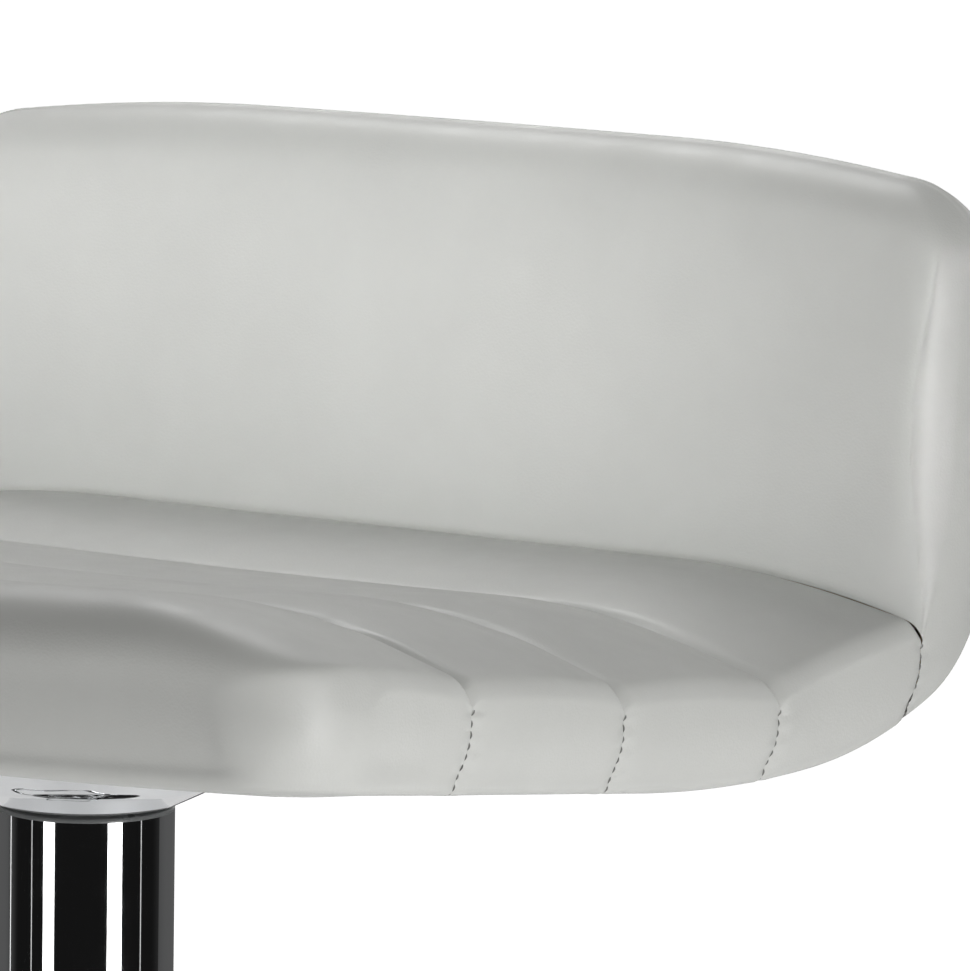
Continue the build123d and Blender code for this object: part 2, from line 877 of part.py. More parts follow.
def foam():
    """The foam between the shell and the leatherette, recessed over the tee nuts."""
    pad = padded_form(leatherette) - pocket()
    for place in screw_places():
        pad -= place * post(tee_flange_radius, layer_depth - 1, layer_depth + tee_flange)
    return pad


def leatherette_skin():
    """The leatherette over the foam and around the shell's edges."""
    return padded_form(0.0) - padded_form(leatherette) - pocket()


def pad_half(pad, behind):
    """The padding in front of the crease, or behind it."""
    reach = 2 * seat_front
    shift = part_gap / 2 + reach / 2
    y = crease_depth + (shift if behind else -shift)
    return pad & (Pos(0, y, column_top + back_top / 2) * Box(2 * seat_width, reach, 2 * back_top))


# ---------- writing ----------
save("edge_ring", edge_ring())
save("base_cover", base_cover())
save("neck_ring", neck_ring())
save("bottom_sheet", bottom_sheet())
save("sheet_screws", *sheet_screws())
save("base_weight", base_weight())
save("foot_plate", foot_plate())
save("foot_bolts", *foot_bolts())
save("column_tube", column_tube())
save("guide_bush", guide_bush())
save("rod_anchor", rod_anchor())
save("lower_race", lower_race())
save("ball_cage", ball_cage())
save("bearing_balls", *bearing_balls())
save("upper_race", upper_race())
save("piston_rod", piston_rod())
save("retaining_clip", retaining_clip())
save("thrust_washer", thrust_washer())
save("stop_bumper", stop_bumper())
save("piston", piston())
save("piston_seal", piston_seal())
save("gas_cylinder", gas_cylinder())
save("rod_guide", rod_guide())
save("rod_seal", rod_seal())
save("pressure_tube", pressure_tube())
save("valve_block", valve_block())
save("valve_pin", valve_pin())
save("footrest_loop", footrest_loop())
save("footrest_collar", footrest_collar())
save("collar_liner", collar_liner())
save("collar_screws", *collar_screws())
save("seat_plate", seat_plate())
save("taper_socket", taper_socket())
save("plate_screws", *plate_screws())
save("plate_washers", *plate_washers())
save("tee_nuts", *tee_nuts())
save("lever_rod", lever_rod())
save("lever_grip", lever_grip())
save("lever_lugs", *lever_lugs())
save("lever_pin", lever_pin())
save("seat_shell", seat_shell())
save("outer_cover", outer_cover())
for layer, solid in (("foam", foam()), ("cover", leatherette_skin())):
    save(f"seat_{layer}", pad_half(solid, False))
    save(f"back_{layer}", pad_half(solid, True))
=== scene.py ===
import json
import math

import bpy
import numpy as np
from mathutils import Matrix, Vector


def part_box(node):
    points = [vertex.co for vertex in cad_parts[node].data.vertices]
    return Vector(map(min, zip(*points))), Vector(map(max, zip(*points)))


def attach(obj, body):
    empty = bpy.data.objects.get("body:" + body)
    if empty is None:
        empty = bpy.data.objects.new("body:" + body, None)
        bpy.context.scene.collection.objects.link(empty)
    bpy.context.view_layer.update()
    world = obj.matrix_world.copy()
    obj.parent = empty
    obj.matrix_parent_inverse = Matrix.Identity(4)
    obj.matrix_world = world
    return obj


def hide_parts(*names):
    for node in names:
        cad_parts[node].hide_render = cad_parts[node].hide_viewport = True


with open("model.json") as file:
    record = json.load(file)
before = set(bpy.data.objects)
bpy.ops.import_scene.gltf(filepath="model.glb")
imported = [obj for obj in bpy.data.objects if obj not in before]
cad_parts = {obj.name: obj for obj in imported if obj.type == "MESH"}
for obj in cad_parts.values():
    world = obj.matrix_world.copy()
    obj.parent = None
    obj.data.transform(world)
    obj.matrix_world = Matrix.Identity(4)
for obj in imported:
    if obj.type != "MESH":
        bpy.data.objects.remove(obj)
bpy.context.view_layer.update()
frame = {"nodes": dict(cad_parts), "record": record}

# Adjustable swivel stool. Shapes are worked out in millimetres, with heights above the
# column's rim, and go into the frame's metres in to_frame().

MM = 0.001
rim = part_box("column_tube")[1].z
cover_low, cover_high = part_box("seat_cover")
back_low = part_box("back_cover")[0]
panel_low, panel_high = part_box("outer_cover")

half_width = cover_high.x / MM
front = cover_low.y / MM
crease_y = (cover_high.y + back_low.y) / 2 / MM
panel_half = panel_high.x / MM
back_top = 208.0

# ---------- sizes of the upholstery ----------
front_corner = 32.0
front_roll = (28.0, 26.0)  # how far it reaches back, and how far it drops
edge_round = 4.0
crown = 3.5  # height of a channel over its seams
crown_edge = -1.0  # what the channels gain in height at the sides
notch = (3.2, 5.0)  # depth of a seam's valley between two channels, and half its width
crest_power = 2.4  # how flat a channel is on top
dish = 0.0002  # how the seat rises to its sides at the front
dish_half = 130.0  # where the seam heights are true; the seat rises outside this
wall_taper = 4.5  # how far the side leans in to its bottom edge
back_taper = 1.5
wall_bulge = 1.6
bottom_round = 5.0
layer_front = 20.0  # corner radii of the layers inside the padding's edges
layer_top = 22.0
wrap = 17.0  # leatherette turned under the shell's edge
tuck = 0.6  # how far the turned leatherette lies inside the outer layer
groove = 1.8  # depth of a seam in the side wall
groove_width = 9.0

# Seams across the seat: where they are and their height, how far the seat falls away at
# the side there and over what reach, and how far the seam leans forward down the wall.
seams = [
    {"y": -101.0, "height": 94.2, "fall": 23.5, "reach": 88.0, "power": 1.9, "lean": 1.0},
    {"y": -13.0, "height": 82.5, "fall": 24.0, "reach": 88.0, "power": 1.8, "lean": 0.0},
    {"y": 83.0, "height": 70.0, "fall": 21.5, "reach": 88.0, "power": 1.8, "lean": 0.0},
    {"y": crease_y, "height": 73.5, "fall": 14.0, "reach": 100.0, "power": 2.2, "lean": 0.0},
]
nose = {"y": front, "height": 106.0, "fall": 23.5, "reach": 88.0, "power": 1.9, "lean": 0.0}
ribs = [nose] + seams

# The underside, from the front: a straight fall, a sweep to level, a scoop and the heel.
slope = 8.3
straight_end = 10.0
sweep = (727.0, 8.3)
scoop = (268.0, 17.0)
heel = (53.0, 65.0)
back_angle = 82.0  # degrees from level
back_run = 122.0
underside_height = 26.9
front_dip = 8.0  # how far the front's bottom edge sags in the middle
dip_end = -70.0

# Filling and sewing.
cloth_frames = 20
cloth_pressure = 4.0
seat_swell = 1.6  # the most that the filling moves the leatherette
back_swell = 2.0
panel_proud = 0.2  # the outer panel over its layer
board_depths = (3.2, 12.0)  # the plywood's two faces inside its layer
pucker_pitch = 6.5
pucker_height = 0.22
stitch_pitch = 3.5
stitch_length = 2.5
stitch_radius = 0.26

# The back's face, as (y, height), and its edges.
face = [
    (176.0, 73.0),
    (183.5, 92.0),
    (191.0, 130.0),
    (199.0, 168.0),
    (207.5, 196.0),
    (213.0, 214.0),
]
back_corner = 29.0
top_fall = 6.8  # how far the top edge has come down where the corner starts
top_flat = 85.0  # half the length of the top's level middle
back_roll = 15.5
back_side_round = 9.5
back_soft = (2.2, 70.0)  # how far the face has gone back at its sides, and from where
side_round_level = 104.0  # where the back's side wall has reached its full depth
back_bow = 18.0  # how far each end of the back curves forward at its top


def to_frame(points):
    """Points in millimetres above the rim, in the frame's metres."""
    moved = np.array(points, float)
    moved[..., 2] += rim / MM
    return moved * MM


def smooth(low, high, value):
    """0 below low, 1 above high, and a smooth rise between."""
    t = np.clip((value - low) / (high - low), 0, 1)
    return t * t * (3 - 2 * t)


def rib_value(y, key):
    return np.interp(y, [r["y"] for r in ribs], [r[key] for r in ribs])


# ---------- underside path ----------
def underside_path(spacing=2.0):
    """Points along the underside and up the rear, in the YZ plane."""
    heading = -math.radians(slope)
    y, z = front, underside_height - front * math.tan(math.radians(slope))
    run = (straight_end - front) / math.cos(heading)
    points = [(y, z)]
    for length, turn in ((run, 0.0), sweep, scoop, heel, (back_run, 0.0)):
        angle = math.radians(turn)
        arc = length * angle if turn else length
        steps = max(2, round(arc / spacing))
        for _ in range(steps):
            middle = heading + angle / steps / 2
            chord = 2 * length * math.sin(angle / steps / 2) if turn else arc / steps
            y, z = y + chord * math.cos(middle), z + chord * math.sin(middle)
            heading += angle / steps
            points.append((y, z))
    return np.array(points)


path = underside_path()
path_length = np.concatenate([[0], np.cumsum(np.hypot(*np.diff(path, axis=0).T))])
rear_way = np.array([math.cos(math.radians(back_angle)), math.sin(math.radians(back_angle))])
heel_end = path[-1] - back_run * rear_way


def dip(x, y):
    """How far the underside sags at the front, between the shell's edges."""
    inner = 1 - np.clip(np.abs(x) / half_width, 0, 1) ** 2
    return front_dip * inner * (1 - smooth(front, dip_end, y))


def underside(x, y):
    """Level of the underside at a place ahead of the heel."""
    return np.interp(y, path[:, 0], path[:, 1]) - dip(x, y)


def rear_y(z):
    """Depth of the back's rear face at a level."""
    return heel_end[0] + (z - heel_end[1]) / math.tan(math.radians(back_angle))


# ---------- seat surface ----------
def quarter(distance, reach, drop):
    """Fall of a rounded edge at a distance in from it."""
    t = 1 - np.clip(distance / np.maximum(reach, 0.01), 0, 1)
    return drop * (1 - np.sqrt(1 - t * t))


def seat_half(y):
    """Half the seat's width at a place, less its front corners."""
    into = np.clip(front + front_corner - y, 0, front_corner)
    return half_width - front_corner + np.sqrt(front_corner**2 - into**2)


def seat_front_edge(x):
    """Where the seat's front edge is, round its corners."""
    out = np.clip(np.abs(x) - (half_width - front_corner), 0, front_corner)
    return front + front_corner - np.sqrt(front_corner**2 - out**2)


def seat_height(x, y):
    """Height of the seat's top, channels and rolled edges included."""
    side = seat_half(y) - np.abs(x)
    ahead = y - seat_front_edge(x)
    level = rib_value(y, "height")
    gather = 1 - np.clip(side / rib_value(y, "reach"), 0, 1)
    bounds = [r["y"] for r in ribs]
    crest = np.zeros_like(level)
    for low, high in zip(bounds, bounds[1:]):
        t = (y - low) / (high - low)
        if low == front:
            t = np.maximum(t, 0.5)
        inside = (y >= low) & (y <= high)
        crest = np.where(inside, 1 - np.abs(2 * t - 1) ** crest_power, crest)
    level = level + crest * (crown + crown_edge * gather**2)
    for seam in seams:
        level = level - notch[0] * np.clip(1 - np.abs(y - seam["y"]) / notch[1], 0, 1) ** 1.5
    dished = dish * np.clip((crease_y - y) / (crease_y - seams[0]["y"]), 0, 1.15)
    level = level + dished * (x * x - dish_half**2)
    side_fall = rib_value(y, "fall") * gather ** rib_value(y, "power")
    side_fall = side_fall + quarter(side, edge_round, edge_round)
    front_fall = quarter(ahead, *front_roll)
    return level - (side_fall**3 + front_fall**3) ** (1 / 3)


def spaced(low, high, count, crowd=0.12):
    """Steps from low to high, closer together at both ends."""
    t = np.linspace(0, 1, count + 1)
    return low + (high - low) * (t - crowd * np.sin(2 * np.pi * t))


def crowded_columns(count=66):
    """Positions across the seat from -1 to 1, closer together at the sides."""
    t = np.linspace(-1, 1, count + 1)
    return t + 0.13 * np.sin(np.pi * t)


def seat_rows():
    """Rows from the crease to the front edge, with one on every seam."""
    rows = [crease_y]
    bounds = [s["y"] for s in reversed(seams)]
    for high, low in zip(bounds, bounds[1:]):
        rows += list(spaced(high, low, 22))[1:]
    corner_start = front + front_corner
    ahead = 1 - np.linspace(0, 1, 13) ** 1.5
    rows += list(corner_start + (bounds[-1] - corner_start) * ahead)[1:]
    turns = np.linspace(0, math.pi / 2, 10)[1:]
    rows += [corner_start - front_corner * math.sin(a) for a in turns]
    return np.array(rows)


# ---------- meshes ----------
def make_object(name, verts, faces, creases=()):
    """A mesh object in the frame, with its sharp edges marked."""
    mesh = bpy.data.meshes.new(name)
    mesh.from_pydata([tuple(v) for v in to_frame(verts)], [], faces)
    mesh.update()
    thing = bpy.data.objects.new(name, mesh)
    bpy.context.scene.collection.objects.link(thing)
    if creases:
        sharp = {tuple(sorted(e)): s for e, s in creases}
        layer = mesh.attributes.new("crease_edge", "FLOAT", "EDGE")
        for edge in mesh.edges:
            layer.data[edge.index].value = sharp.get(tuple(sorted(edge.vertices)), 0.0)
    mesh.polygons.foreach_set("use_smooth", [True] * len(mesh.polygons))
    return thing


wall_steps = [0.08, 0.18, 0.3, 0.42, 0.55, 0.67, 0.79, 0.9, 1.0]
corner_turns = [30, 60, 90]


class Upholstery:
    """A grid for the sitting side, and a wall that goes round its open edge."""

    def __init__(self, grid):
        self.rows, self.columns = grid.shape[:2]
        self.verts = [tuple(p) for row in grid for p in row]
        self.faces = []
        self.creases = []
        self.pinned = set()
        for i in range(self.rows - 1):
            for j in range(self.columns - 1):
                a = self.at(i, j)
                self.faces.append((a, a + 1, a + 1 + self.columns, a + self.columns))

    def at(self, row, column):
        return row * self.columns + column

    def edge_loop(self):
        """The grid's edge: up one side, across the far row and down the other side."""
        left = [self.at(i, 0) for i in range(self.rows)]
        far = [self.at(self.rows - 1, j) for j in range(1, self.columns)]
        right = [self.at(i, self.columns - 1) for i in range(self.rows - 2, -1, -1)]
        return left + far + right

    def add_ring(self, previous, points):
        first = len(self.verts)
        self.verts += [tuple(p) for p in points]
        ring = list(range(first, first + len(points)))
        for k in range(len(ring) - 1):
            self.faces.append((previous[k], previous[k + 1], ring[k + 1], ring[k]))
        return ring

    def add_wall(self, outward, base, wall, settle):
        """Rings down the wall from the grid's edge to the base, then in under it.

        wall holds, for each point of the edge, how far the wall leans in, bulges, is dented
        by seams and leans forward, and the radius of its far edge."""
        loop = self.edge_loop()
        top = np.array([self.verts[v] for v in loop])
        depth = np.linalg.norm(base - top, axis=1)
        down = (base - top) / depth[:, None]
        taper, bulge, dents, lean, far_round = (
            np.broadcast_to(wall[k], len(loop)).astype(float)
            for k in ("taper", "bulge", "dents", "lean", "round")
        )
        rings = [loop]

        def ring_at(sunk, inset, leaning):
            spot = top + down * sunk[:, None] - outward * inset[:, None]
            spot[:, 1] -= leaning
            rings.append(self.add_ring(rings[-1], spot))

        for q in wall_steps:
            inset = taper * q**1.5 - bulge * math.sin(math.pi * q) + dents
            ring_at((depth - far_round) * q, inset, lean * q)
        for turn in corner_turns:
            a = math.radians(turn)
            inset = taper + far_round * (1 - math.cos(a)) + dents * (1 - turn / 120)
            ring_at(depth - far_round * (1 - math.sin(a)), inset, lean)
        for reach in (0.5, 1.0):
            inset = taper + far_round + reach * (wrap - bottom_round)
            spot = settle(base - outward * inset[:, None])
            spot[:, 1] -= lean
            rings.append(self.add_ring(rings[-1], spot))
        self.pinned.update(v for ring in rings[len(wall_steps) :] for v in ring)
        return rings

    def seam(self, vertices, strength):
        """Sews a line of vertices down: it stays put, with a sharp valley along it."""
        self.pinned.update(vertices)
        self.creases += [((a, b), strength) for a, b in zip(vertices, vertices[1:])]


def seat_grid():
    rows = seat_rows()
    across = crowded_columns()
    x = seat_half(rows)[:, None] * across[None, :]
    y = np.repeat(rows[:, None], len(across), axis=1)
    for _ in range(3):
        y = np.maximum(y, seat_front_edge(x))
    return np.stack([x, y, seat_height(x, y)], axis=2)


def side_dents(y, at_seams):
    """How far the seams pull a side wall in."""
    gap = np.min([np.abs(y - s) for s in at_seams], axis=0)
    return groove * np.clip(1 - gap / groove_width, 0, 1) ** 2.2


def outline_normals(points, centre_half, corner, near):
    """Outward directions of a rounded outline whose corners start at near."""
    out = np.zeros_like(points)
    across = np.sign(points[:, 0]) * np.clip(np.abs(points[:, 0]) - centre_half, 0, None)
    along = np.clip(near - points[:, 1], 0, None)
    out[:, 0], out[:, 1] = across, -along
    return out / np.linalg.norm(out, axis=1, keepdims=True)


def seat_pad():
    """The seat in front of the crease: four channels and the boxing round them."""
    pad = Upholstery(seat_grid())
    loop = np.array([pad.verts[v] for v in pad.edge_loop()])
    outward = outline_normals(
        loop, half_width - front_corner, front_corner, front + front_corner
    )
    base = loop.copy()
    base[:, 2] = underside(loop[:, 0], loop[:, 1])
    at_side = np.abs(outward[:, 0]) > 0.999
    seam_places = [s["y"] for s in seams]
    dents = np.where(at_side, side_dents(loop[:, 1], seam_places), 0.0)
    lean = np.where(at_side, rib_value(loop[:, 1], "lean"), 0.0)
    ahead = np.clip((front + front_corner - loop[:, 1]) / front_corner, 0, 1)
    lean = np.where(ahead > 0, 0.0, lean * smooth(front + front_corner, -112.0, loop[:, 1]))
    wall = {
        "taper": wall_taper - 2.0 * ahead,
        "bulge": wall_bulge,
        "dents": dents,
        "lean": lean,
        "round": bottom_round,
    }

    def settle(points):
        points[:, 2] = underside(points[:, 0], points[:, 1]) + tuck
        return points

    rings = pad.add_wall(outward, base, wall, settle)
    rows = list(seat_rows())
    lines = {}
    for number, s in enumerate(seams):
        row = int(np.argmin([abs(r - s["y"]) for r in rows]))
        pad.seam([pad.at(row, j) for j in range(pad.columns)], 0.85)
        for name, place in (("left", row), ("right", len(rings[0]) - 1 - row)):
            side = [ring[place] for ring in rings[:-2]]
            pad.seam(side, 0.85)
            lines[f"{number}_{name}"] = side
    return pad, lines


# ---------- back surface ----------
face_points = np.array(face)


def face_y(z):
    """Depth of the back's face at a level, along a smooth curve through its points."""
    heights, depths = face_points[:, 1], face_points[:, 0]
    coefficients = np.polyfit(heights, depths, 4)
    return np.polyval(coefficients, z)


def back_half(z):
    up = np.clip(z - (back_top - back_corner), 0, back_corner)
    return half_width - back_corner + np.sqrt(back_corner**2 - up**2)


def back_edge(x):
    out = np.clip(np.abs(x) - (half_width - back_corner), 0, back_corner)
    return back_top - back_corner + np.sqrt(back_corner**2 - out**2)


def back_rows():
    crease_level = seams[-1]["height"]
    start = back_top - back_corner
    lower = crease_level + (start - crease_level) * np.linspace(0, 1, 25) ** 1.25
    turns = np.linspace(0, math.pi / 2, 10)[1:]
    return np.concatenate([lower, start + back_corner * np.sin(turns)])


def crease_height(x):
    """Height of the crease across the stool."""
    return seat_height(x, np.full_like(x, crease_y))


def bowed(x, z):
    """How far the back's ends curve forward at a place on it."""
    rise = np.clip((z - seams[-1]["height"]) / (back_top - seams[-1]["height"]), 0, 1)
    return back_bow * (x / half_width) ** 2 * rise


def back_point(x, level):
    """A point on the back's face, with its rolled top and sides."""
    t = np.clip((level - face_points[0, 1]) / (back_top - face_points[0, 1]), 0, 1)
    side = back_half(level) - np.abs(x)
    above = back_edge(x) - level
    leaving = smooth(0, 0.3, t)
    round_side = back_side_round * leaving
    side_fall = quarter(side, round_side, round_side)
    top_roll = quarter(above, back_roll, back_roll)
    fall = (side_fall**3 + top_roll**3) ** (1 / 3)
    soft = leaving * back_soft[0] * (1 - np.clip(side / back_soft[1], 0, 1)) ** 2
    shoulder = np.clip((np.abs(x) - top_flat) / (half_width - back_corner - top_flat), 0, 1.2)
    z = level - top_fall * shoulder**2 * t**2
    z = z + (crease_height(x) - face_points[0, 1]) * (1 - t) ** 6
    depth = face_y(level) + fall + soft - bowed(x, z)
    return np.stack([x, depth, z], axis=-1)


def back_grid():
    rows = back_rows()
    across = crowded_columns()
    x = back_half(rows)[:, None] * across[None, :]
    level = np.repeat(rows[:, None], len(across), axis=1)
    for _ in range(3):
        level = np.minimum(level, back_edge(x))
    return back_point(x, level)


def ladder_base(loop, levels):
    """The rear point that answers each point of the back's edge."""
    low = face_points[0, 1]
    start = np.interp(crease_y, path[:, 0], path_length)
    rear = path[:, 0] > crease_y + 30
    lower_by = 8  # the rear point's level below its edge point, less near the top
    far = np.interp(side_round_level - lower_by, path[rear, 1], path_length[rear])
    m = np.clip((levels - low) / (side_round_level - low), 0, 1)
    along = start + m * (far - start)
    base = loop.copy()
    base[:, 1] = np.interp(along, path_length, path[:, 0])
    base[:, 2] = np.interp(along, path_length, path[:, 1])
    high = levels > side_round_level
    lowered = lower_by * (1 - smooth(side_round_level, back_top - 10, levels))
    base[high, 2] = loop[high, 2] - lowered[high]
    base[high, 1] = rear_y(base[high, 2])
    base[:, 1] -= bowed(base[:, 0], base[:, 2])
    return base


def back_pad():
    """The back behind the crease, down to the heel under it."""
    pad = Upholstery(back_grid())
    rows = back_rows()
    loop = np.array([pad.verts[v] for v in pad.edge_loop()])
    levels = np.concatenate([rows, np.full(pad.columns - 2, rows[-1]), rows[::-1]])
    corner = np.clip((levels - (back_top - back_corner)) / back_corner, 0, 1)
    outward = np.zeros_like(loop)
    outward[:, 0] = np.sign(loop[:, 0]) * np.sqrt(1 - corner**2)
    outward[:, 2] = corner
    base = ladder_base(loop, levels)
    t = (levels - rows[0]) / (back_top - rows[0])
    rounding = bottom_round + (back_side_round - bottom_round) * smooth(0.1, 0.4, t)
    wall = {
        "taper": wall_taper - (wall_taper - back_taper) * smooth(0.0, 0.5, t),
        "bulge": wall_bulge,
        "dents": groove * np.clip(1 - (levels - rows[0]) / 16, 0, 1) ** 2.2,
        "lean": 0.0,
        "round": rounding + (back_roll - back_side_round) * corner,
    }

    def settle(points):
        behind = points[:, 2] > heel_end[1]
        points[behind, 1] = rear_y(points[behind, 2]) - tuck
        points[behind, 1] -= bowed(points[behind, 0], points[behind, 2])
        return points

    rings = pad.add_wall(outward, base, wall, settle)
    pad.seam([pad.at(0, j) for j in range(pad.columns)], 0.9)
    pad.seam([ring[0] for ring in rings[:-2]], 0.85)
    pad.seam([ring[-1] for ring in rings[:-2]], 0.85)
    return pad


# ---------- padding by cloth simulation ----------
def evened(mesh, moved, held, rounds=14):
    """Spreads each vertex's movement over its neighbours, as the foam under it does."""
    ends = np.array([e.vertices[:] for e in mesh.edges])
    joined = np.bincount(ends.ravel(), minlength=len(moved))[:, None]
    for _ in range(rounds):
        total = np.zeros_like(moved)
        np.add.at(total, ends[:, 0], moved[ends[:, 1]])
        np.add.at(total, ends[:, 1], moved[ends[:, 0]])
        moved = (moved + total / joined) / 2
        moved[held] = 0
    return moved


def inflate(thing, pinned, pressure, cap):
    """Fills a sewn cover: cloth under pressure, held at its seams, moving no more than cap."""
    start = np.array([v.co for v in thing.data.vertices])
    group = thing.vertex_groups.new(name="sewn")
    group.add(sorted(pinned), 1.0, "REPLACE")
    cloth = thing.modifiers.new("Cloth", "CLOTH")
    cloth.point_cache.frame_start, cloth.point_cache.frame_end = 1, cloth_frames
    cloth.collision_settings.use_collision = False
    settings = cloth.settings
    settings.quality = 5
    settings.mass = 0.3
    settings.tension_stiffness = 25
    settings.compression_stiffness = 25
    settings.shear_stiffness = 12
    settings.bending_stiffness = 1.5
    settings.vertex_group_mass = "sewn"
    settings.use_pressure = True
    settings.uniform_pressure_force = pressure
    settings.effector_weights.gravity = 0
    scene = bpy.context.scene
    for step in range(1, cloth_frames + 1):
        scene.frame_set(step)
    settled = thing.evaluated_get(bpy.context.evaluated_depsgraph_get())
    moved = np.array([v.co for v in settled.data.vertices]) - start
    moved = evened(thing.data, moved, sorted(pinned))
    thing.modifiers.remove(cloth)
    thing.vertex_groups.remove(group)
    scene.frame_set(1)
    far = np.linalg.norm(moved, axis=1, keepdims=True)
    limit = cap * MM
    kept = start + moved * np.minimum(1, limit / np.maximum(far, 1e-9))
    thing.data.vertices.foreach_set("co", kept.ravel())
    thing.data.update()
    print(f"{thing.name} swelled by {far.mean() / MM:.2f} mm, {far.max() / MM:.2f} at most")


def subdivide(thing, levels=1):
    """Smooths a mesh by subdivision and keeps the result as its own mesh."""
    smoother = thing.modifiers.new("Subdivision", "SUBSURF")
    smoother.levels = smoother.render_levels = levels
    result = thing.evaluated_get(bpy.context.evaluated_depsgraph_get())
    mesh = bpy.data.meshes.new_from_object(result)
    thing.modifiers.remove(smoother)
    thing.data = mesh


def pucker(thing, lines):
    """Small gathers in the leatherette beside each seam."""
    mesh = thing.data
    count = len(mesh.vertices)
    places, normals = np.zeros(count * 3), np.zeros(count * 3)
    mesh.vertices.foreach_get("co", places)
    mesh.vertices.foreach_get("normal", normals)
    places, normals = places.reshape(-1, 3), normals.reshape(-1, 3)
    points = places / MM
    push = np.zeros(count)
    for number, line in enumerate(lines):
        gap, along = nearest_on(line, points)
        ripple = np.sin(2 * np.pi * along / pucker_pitch + number) + 0.5 * np.sin(
            2 * np.pi * along / (pucker_pitch * 1.7) + 2 * number
        )
        push += pucker_height * ripple * np.exp(-((gap - 3.0) ** 2) / 9.0)
    moved = places + normals * (push * MM)[:, None]
    mesh.vertices.foreach_set("co", moved.ravel())
    mesh.update()


def nearest_on(line, points):
    """Distance of each point from a line of points, and how far along it the nearest is."""
    steps = np.concatenate([[0], np.cumsum(np.linalg.norm(np.diff(line, axis=0), axis=1))])
    near = np.full(len(points), 1e9)
    along = np.zeros(len(points))
    for k in range(len(line) - 1):
        a, d = line[k], line[k + 1] - line[k]
        t = np.clip((points - a) @ d / (d @ d), 0, 1)
        gap = np.linalg.norm(points - a - t[:, None] * d, axis=1)
        closer = gap < near
        near[closer] = gap[closer]
        along[closer] = steps[k] + t[closer] * np.linalg.norm(d)
    return near, along


# ---------- stitching ----------
def stitches(name, line):
    """A row of thread stitches sunk into a seam, each a short bowed bead."""
    sides = 6
    rings = np.linspace(0, 1, 6)
    steps = np.concatenate([[0], np.cumsum(np.linalg.norm(np.diff(line, axis=0), axis=1))])
    outward = Vector((math.copysign(1, line[0][0]), 0, 0))
    verts, faces = [], []
    count = int((steps[-1] - stitch_length) / stitch_pitch)
    for k in range(count + 1):
        start = 0.5 + k * stitch_pitch
        ends = [
            Vector([np.interp(start + s * stitch_length, steps, line[:, c]) for c in range(3)])
            for s in (0, 1)
        ]
        along = (ends[1] - ends[0]).normalized()
        side = along.cross(outward).normalized()
        first = len(verts)
        for t in rings:
            bow = math.sin(math.pi * t)
            centre = ends[0].lerp(ends[1], t) + outward * (bow * 0.4 - 0.05)
            radius = stitch_radius * max(0.25, bow**0.4)
            for j in range(sides):
                a = 2 * math.pi * j / sides
                spoke = side * math.cos(a) + outward * math.sin(a)
                verts.append(centre + spoke * radius)
        for i in range(len(rings) - 1):
            for j in range(sides):
                a, b = first + i * sides + j, first + i * sides + (j + 1) % sides
                faces.append((a, b, b + sides, a + sides))
        faces.append(tuple(first + j for j in reversed(range(sides))))
        faces.append(tuple(first + (len(rings) - 1) * sides + j for j in range(sides)))
    return make_object(name, [tuple(v) for v in verts], faces)


# ---------- layers under the seat and behind the back ----------
def layer_places():
    """Distances along the underside's path, from the seat's front to the back's top."""
    start = np.interp(panel_low.y / MM, path[:, 0], path_length)
    rear = path[:, 0] > crease_y
    end = np.interp((panel_high.z - rim) / MM, path[rear, 1], path_length[rear])
    turns = np.linspace(0, math.pi / 2, 8)
    middle = np.linspace(start + layer_front, end - layer_top, 100)[1:-1]
    first = start + layer_front * (1 - np.sin(turns[::-1]))
    last = end - layer_top * (1 - np.sin(turns))
    return np.concatenate([first, middle, last])


def corner_cut(radius, distance):
    """How far a rounded corner cuts in at a distance from its end."""
    return radius - math.sqrt(radius**2 - max(radius - distance, 0) ** 2)


def layer_rows(offset, edge_fall=0.0):
    """Rows of points across a layer at an offset out from the path, with rounded corners."""
    along = layer_places()
    t = np.linspace(-1, 1, 51)
    across = t + 0.15 * np.sin(np.pi * t)
    centre = np.stack([np.interp(along, path_length, path[:, c]) for c in range(2)], axis=1)
    tangent = np.gradient(centre, axis=0)
    tangent /= np.linalg.norm(tangent, axis=1, keepdims=True)
    below = np.stack([tangent[:, 1], -tangent[:, 0]], axis=1)
    rows = []
    for place, out, s in zip(centre, below, along):
        near, far = s - along[0], along[-1] - s
        cut = corner_cut(layer_front, near) + corner_cut(layer_top, far)
        x = across * (panel_half - cut)
        inner = np.minimum(panel_half - cut - np.abs(x), min(near, far))
        proud = offset - edge_fall * quarter(inner, 4.0, 1.0)
        y, z = place[0] + out[0] * proud, place[1] + out[1] * proud
        z = z - dip(x, y) * (y < 0)
        y = y - np.where(y > crease_y, bowed(x, z), 0.0)
        rows.append(np.stack([x, y, z], axis=1))
    return np.array(rows)


def sheet_faces(rows, first=0):
    """Faces between rows of points whose numbers start at first."""
    count, width = rows.shape[:2]
    corners = [first + i * width + j for i in range(count - 1) for j in range(width - 1)]
    return [(a, a + width, a + width + 1, a + 1) for a in corners]


def cover_panel():
    """Leatherette over felt, from under the seat's front, round the heel and up the back."""
    rows = layer_rows(panel_proud, 3.0)
    return rows.reshape(-1, 3), sheet_faces(rows)


def shell_board():
    """The bent plywood between the cover panel and the padding."""
    outer, inner = (layer_rows(-depth) for depth in board_depths)
    count, width = outer.shape[:2]
    verts = np.concatenate([outer.reshape(-1, 3), inner.reshape(-1, 3)])
    faces = sheet_faces(outer) + [f[::-1] for f in sheet_faces(inner, count * width)]
    edge = list(range(width)) + [i * width + width - 1 for i in range(1, count)]
    edge += [(count - 1) * width + j for j in range(width - 2, -1, -1)]
    edge += [i * width for i in range(count - 2, 0, -1)]
    shift = count * width
    for a, b in zip(edge, edge[1:] + edge[:1]):
        faces.append((a, b, b + shift, a + shift))
    return verts, faces


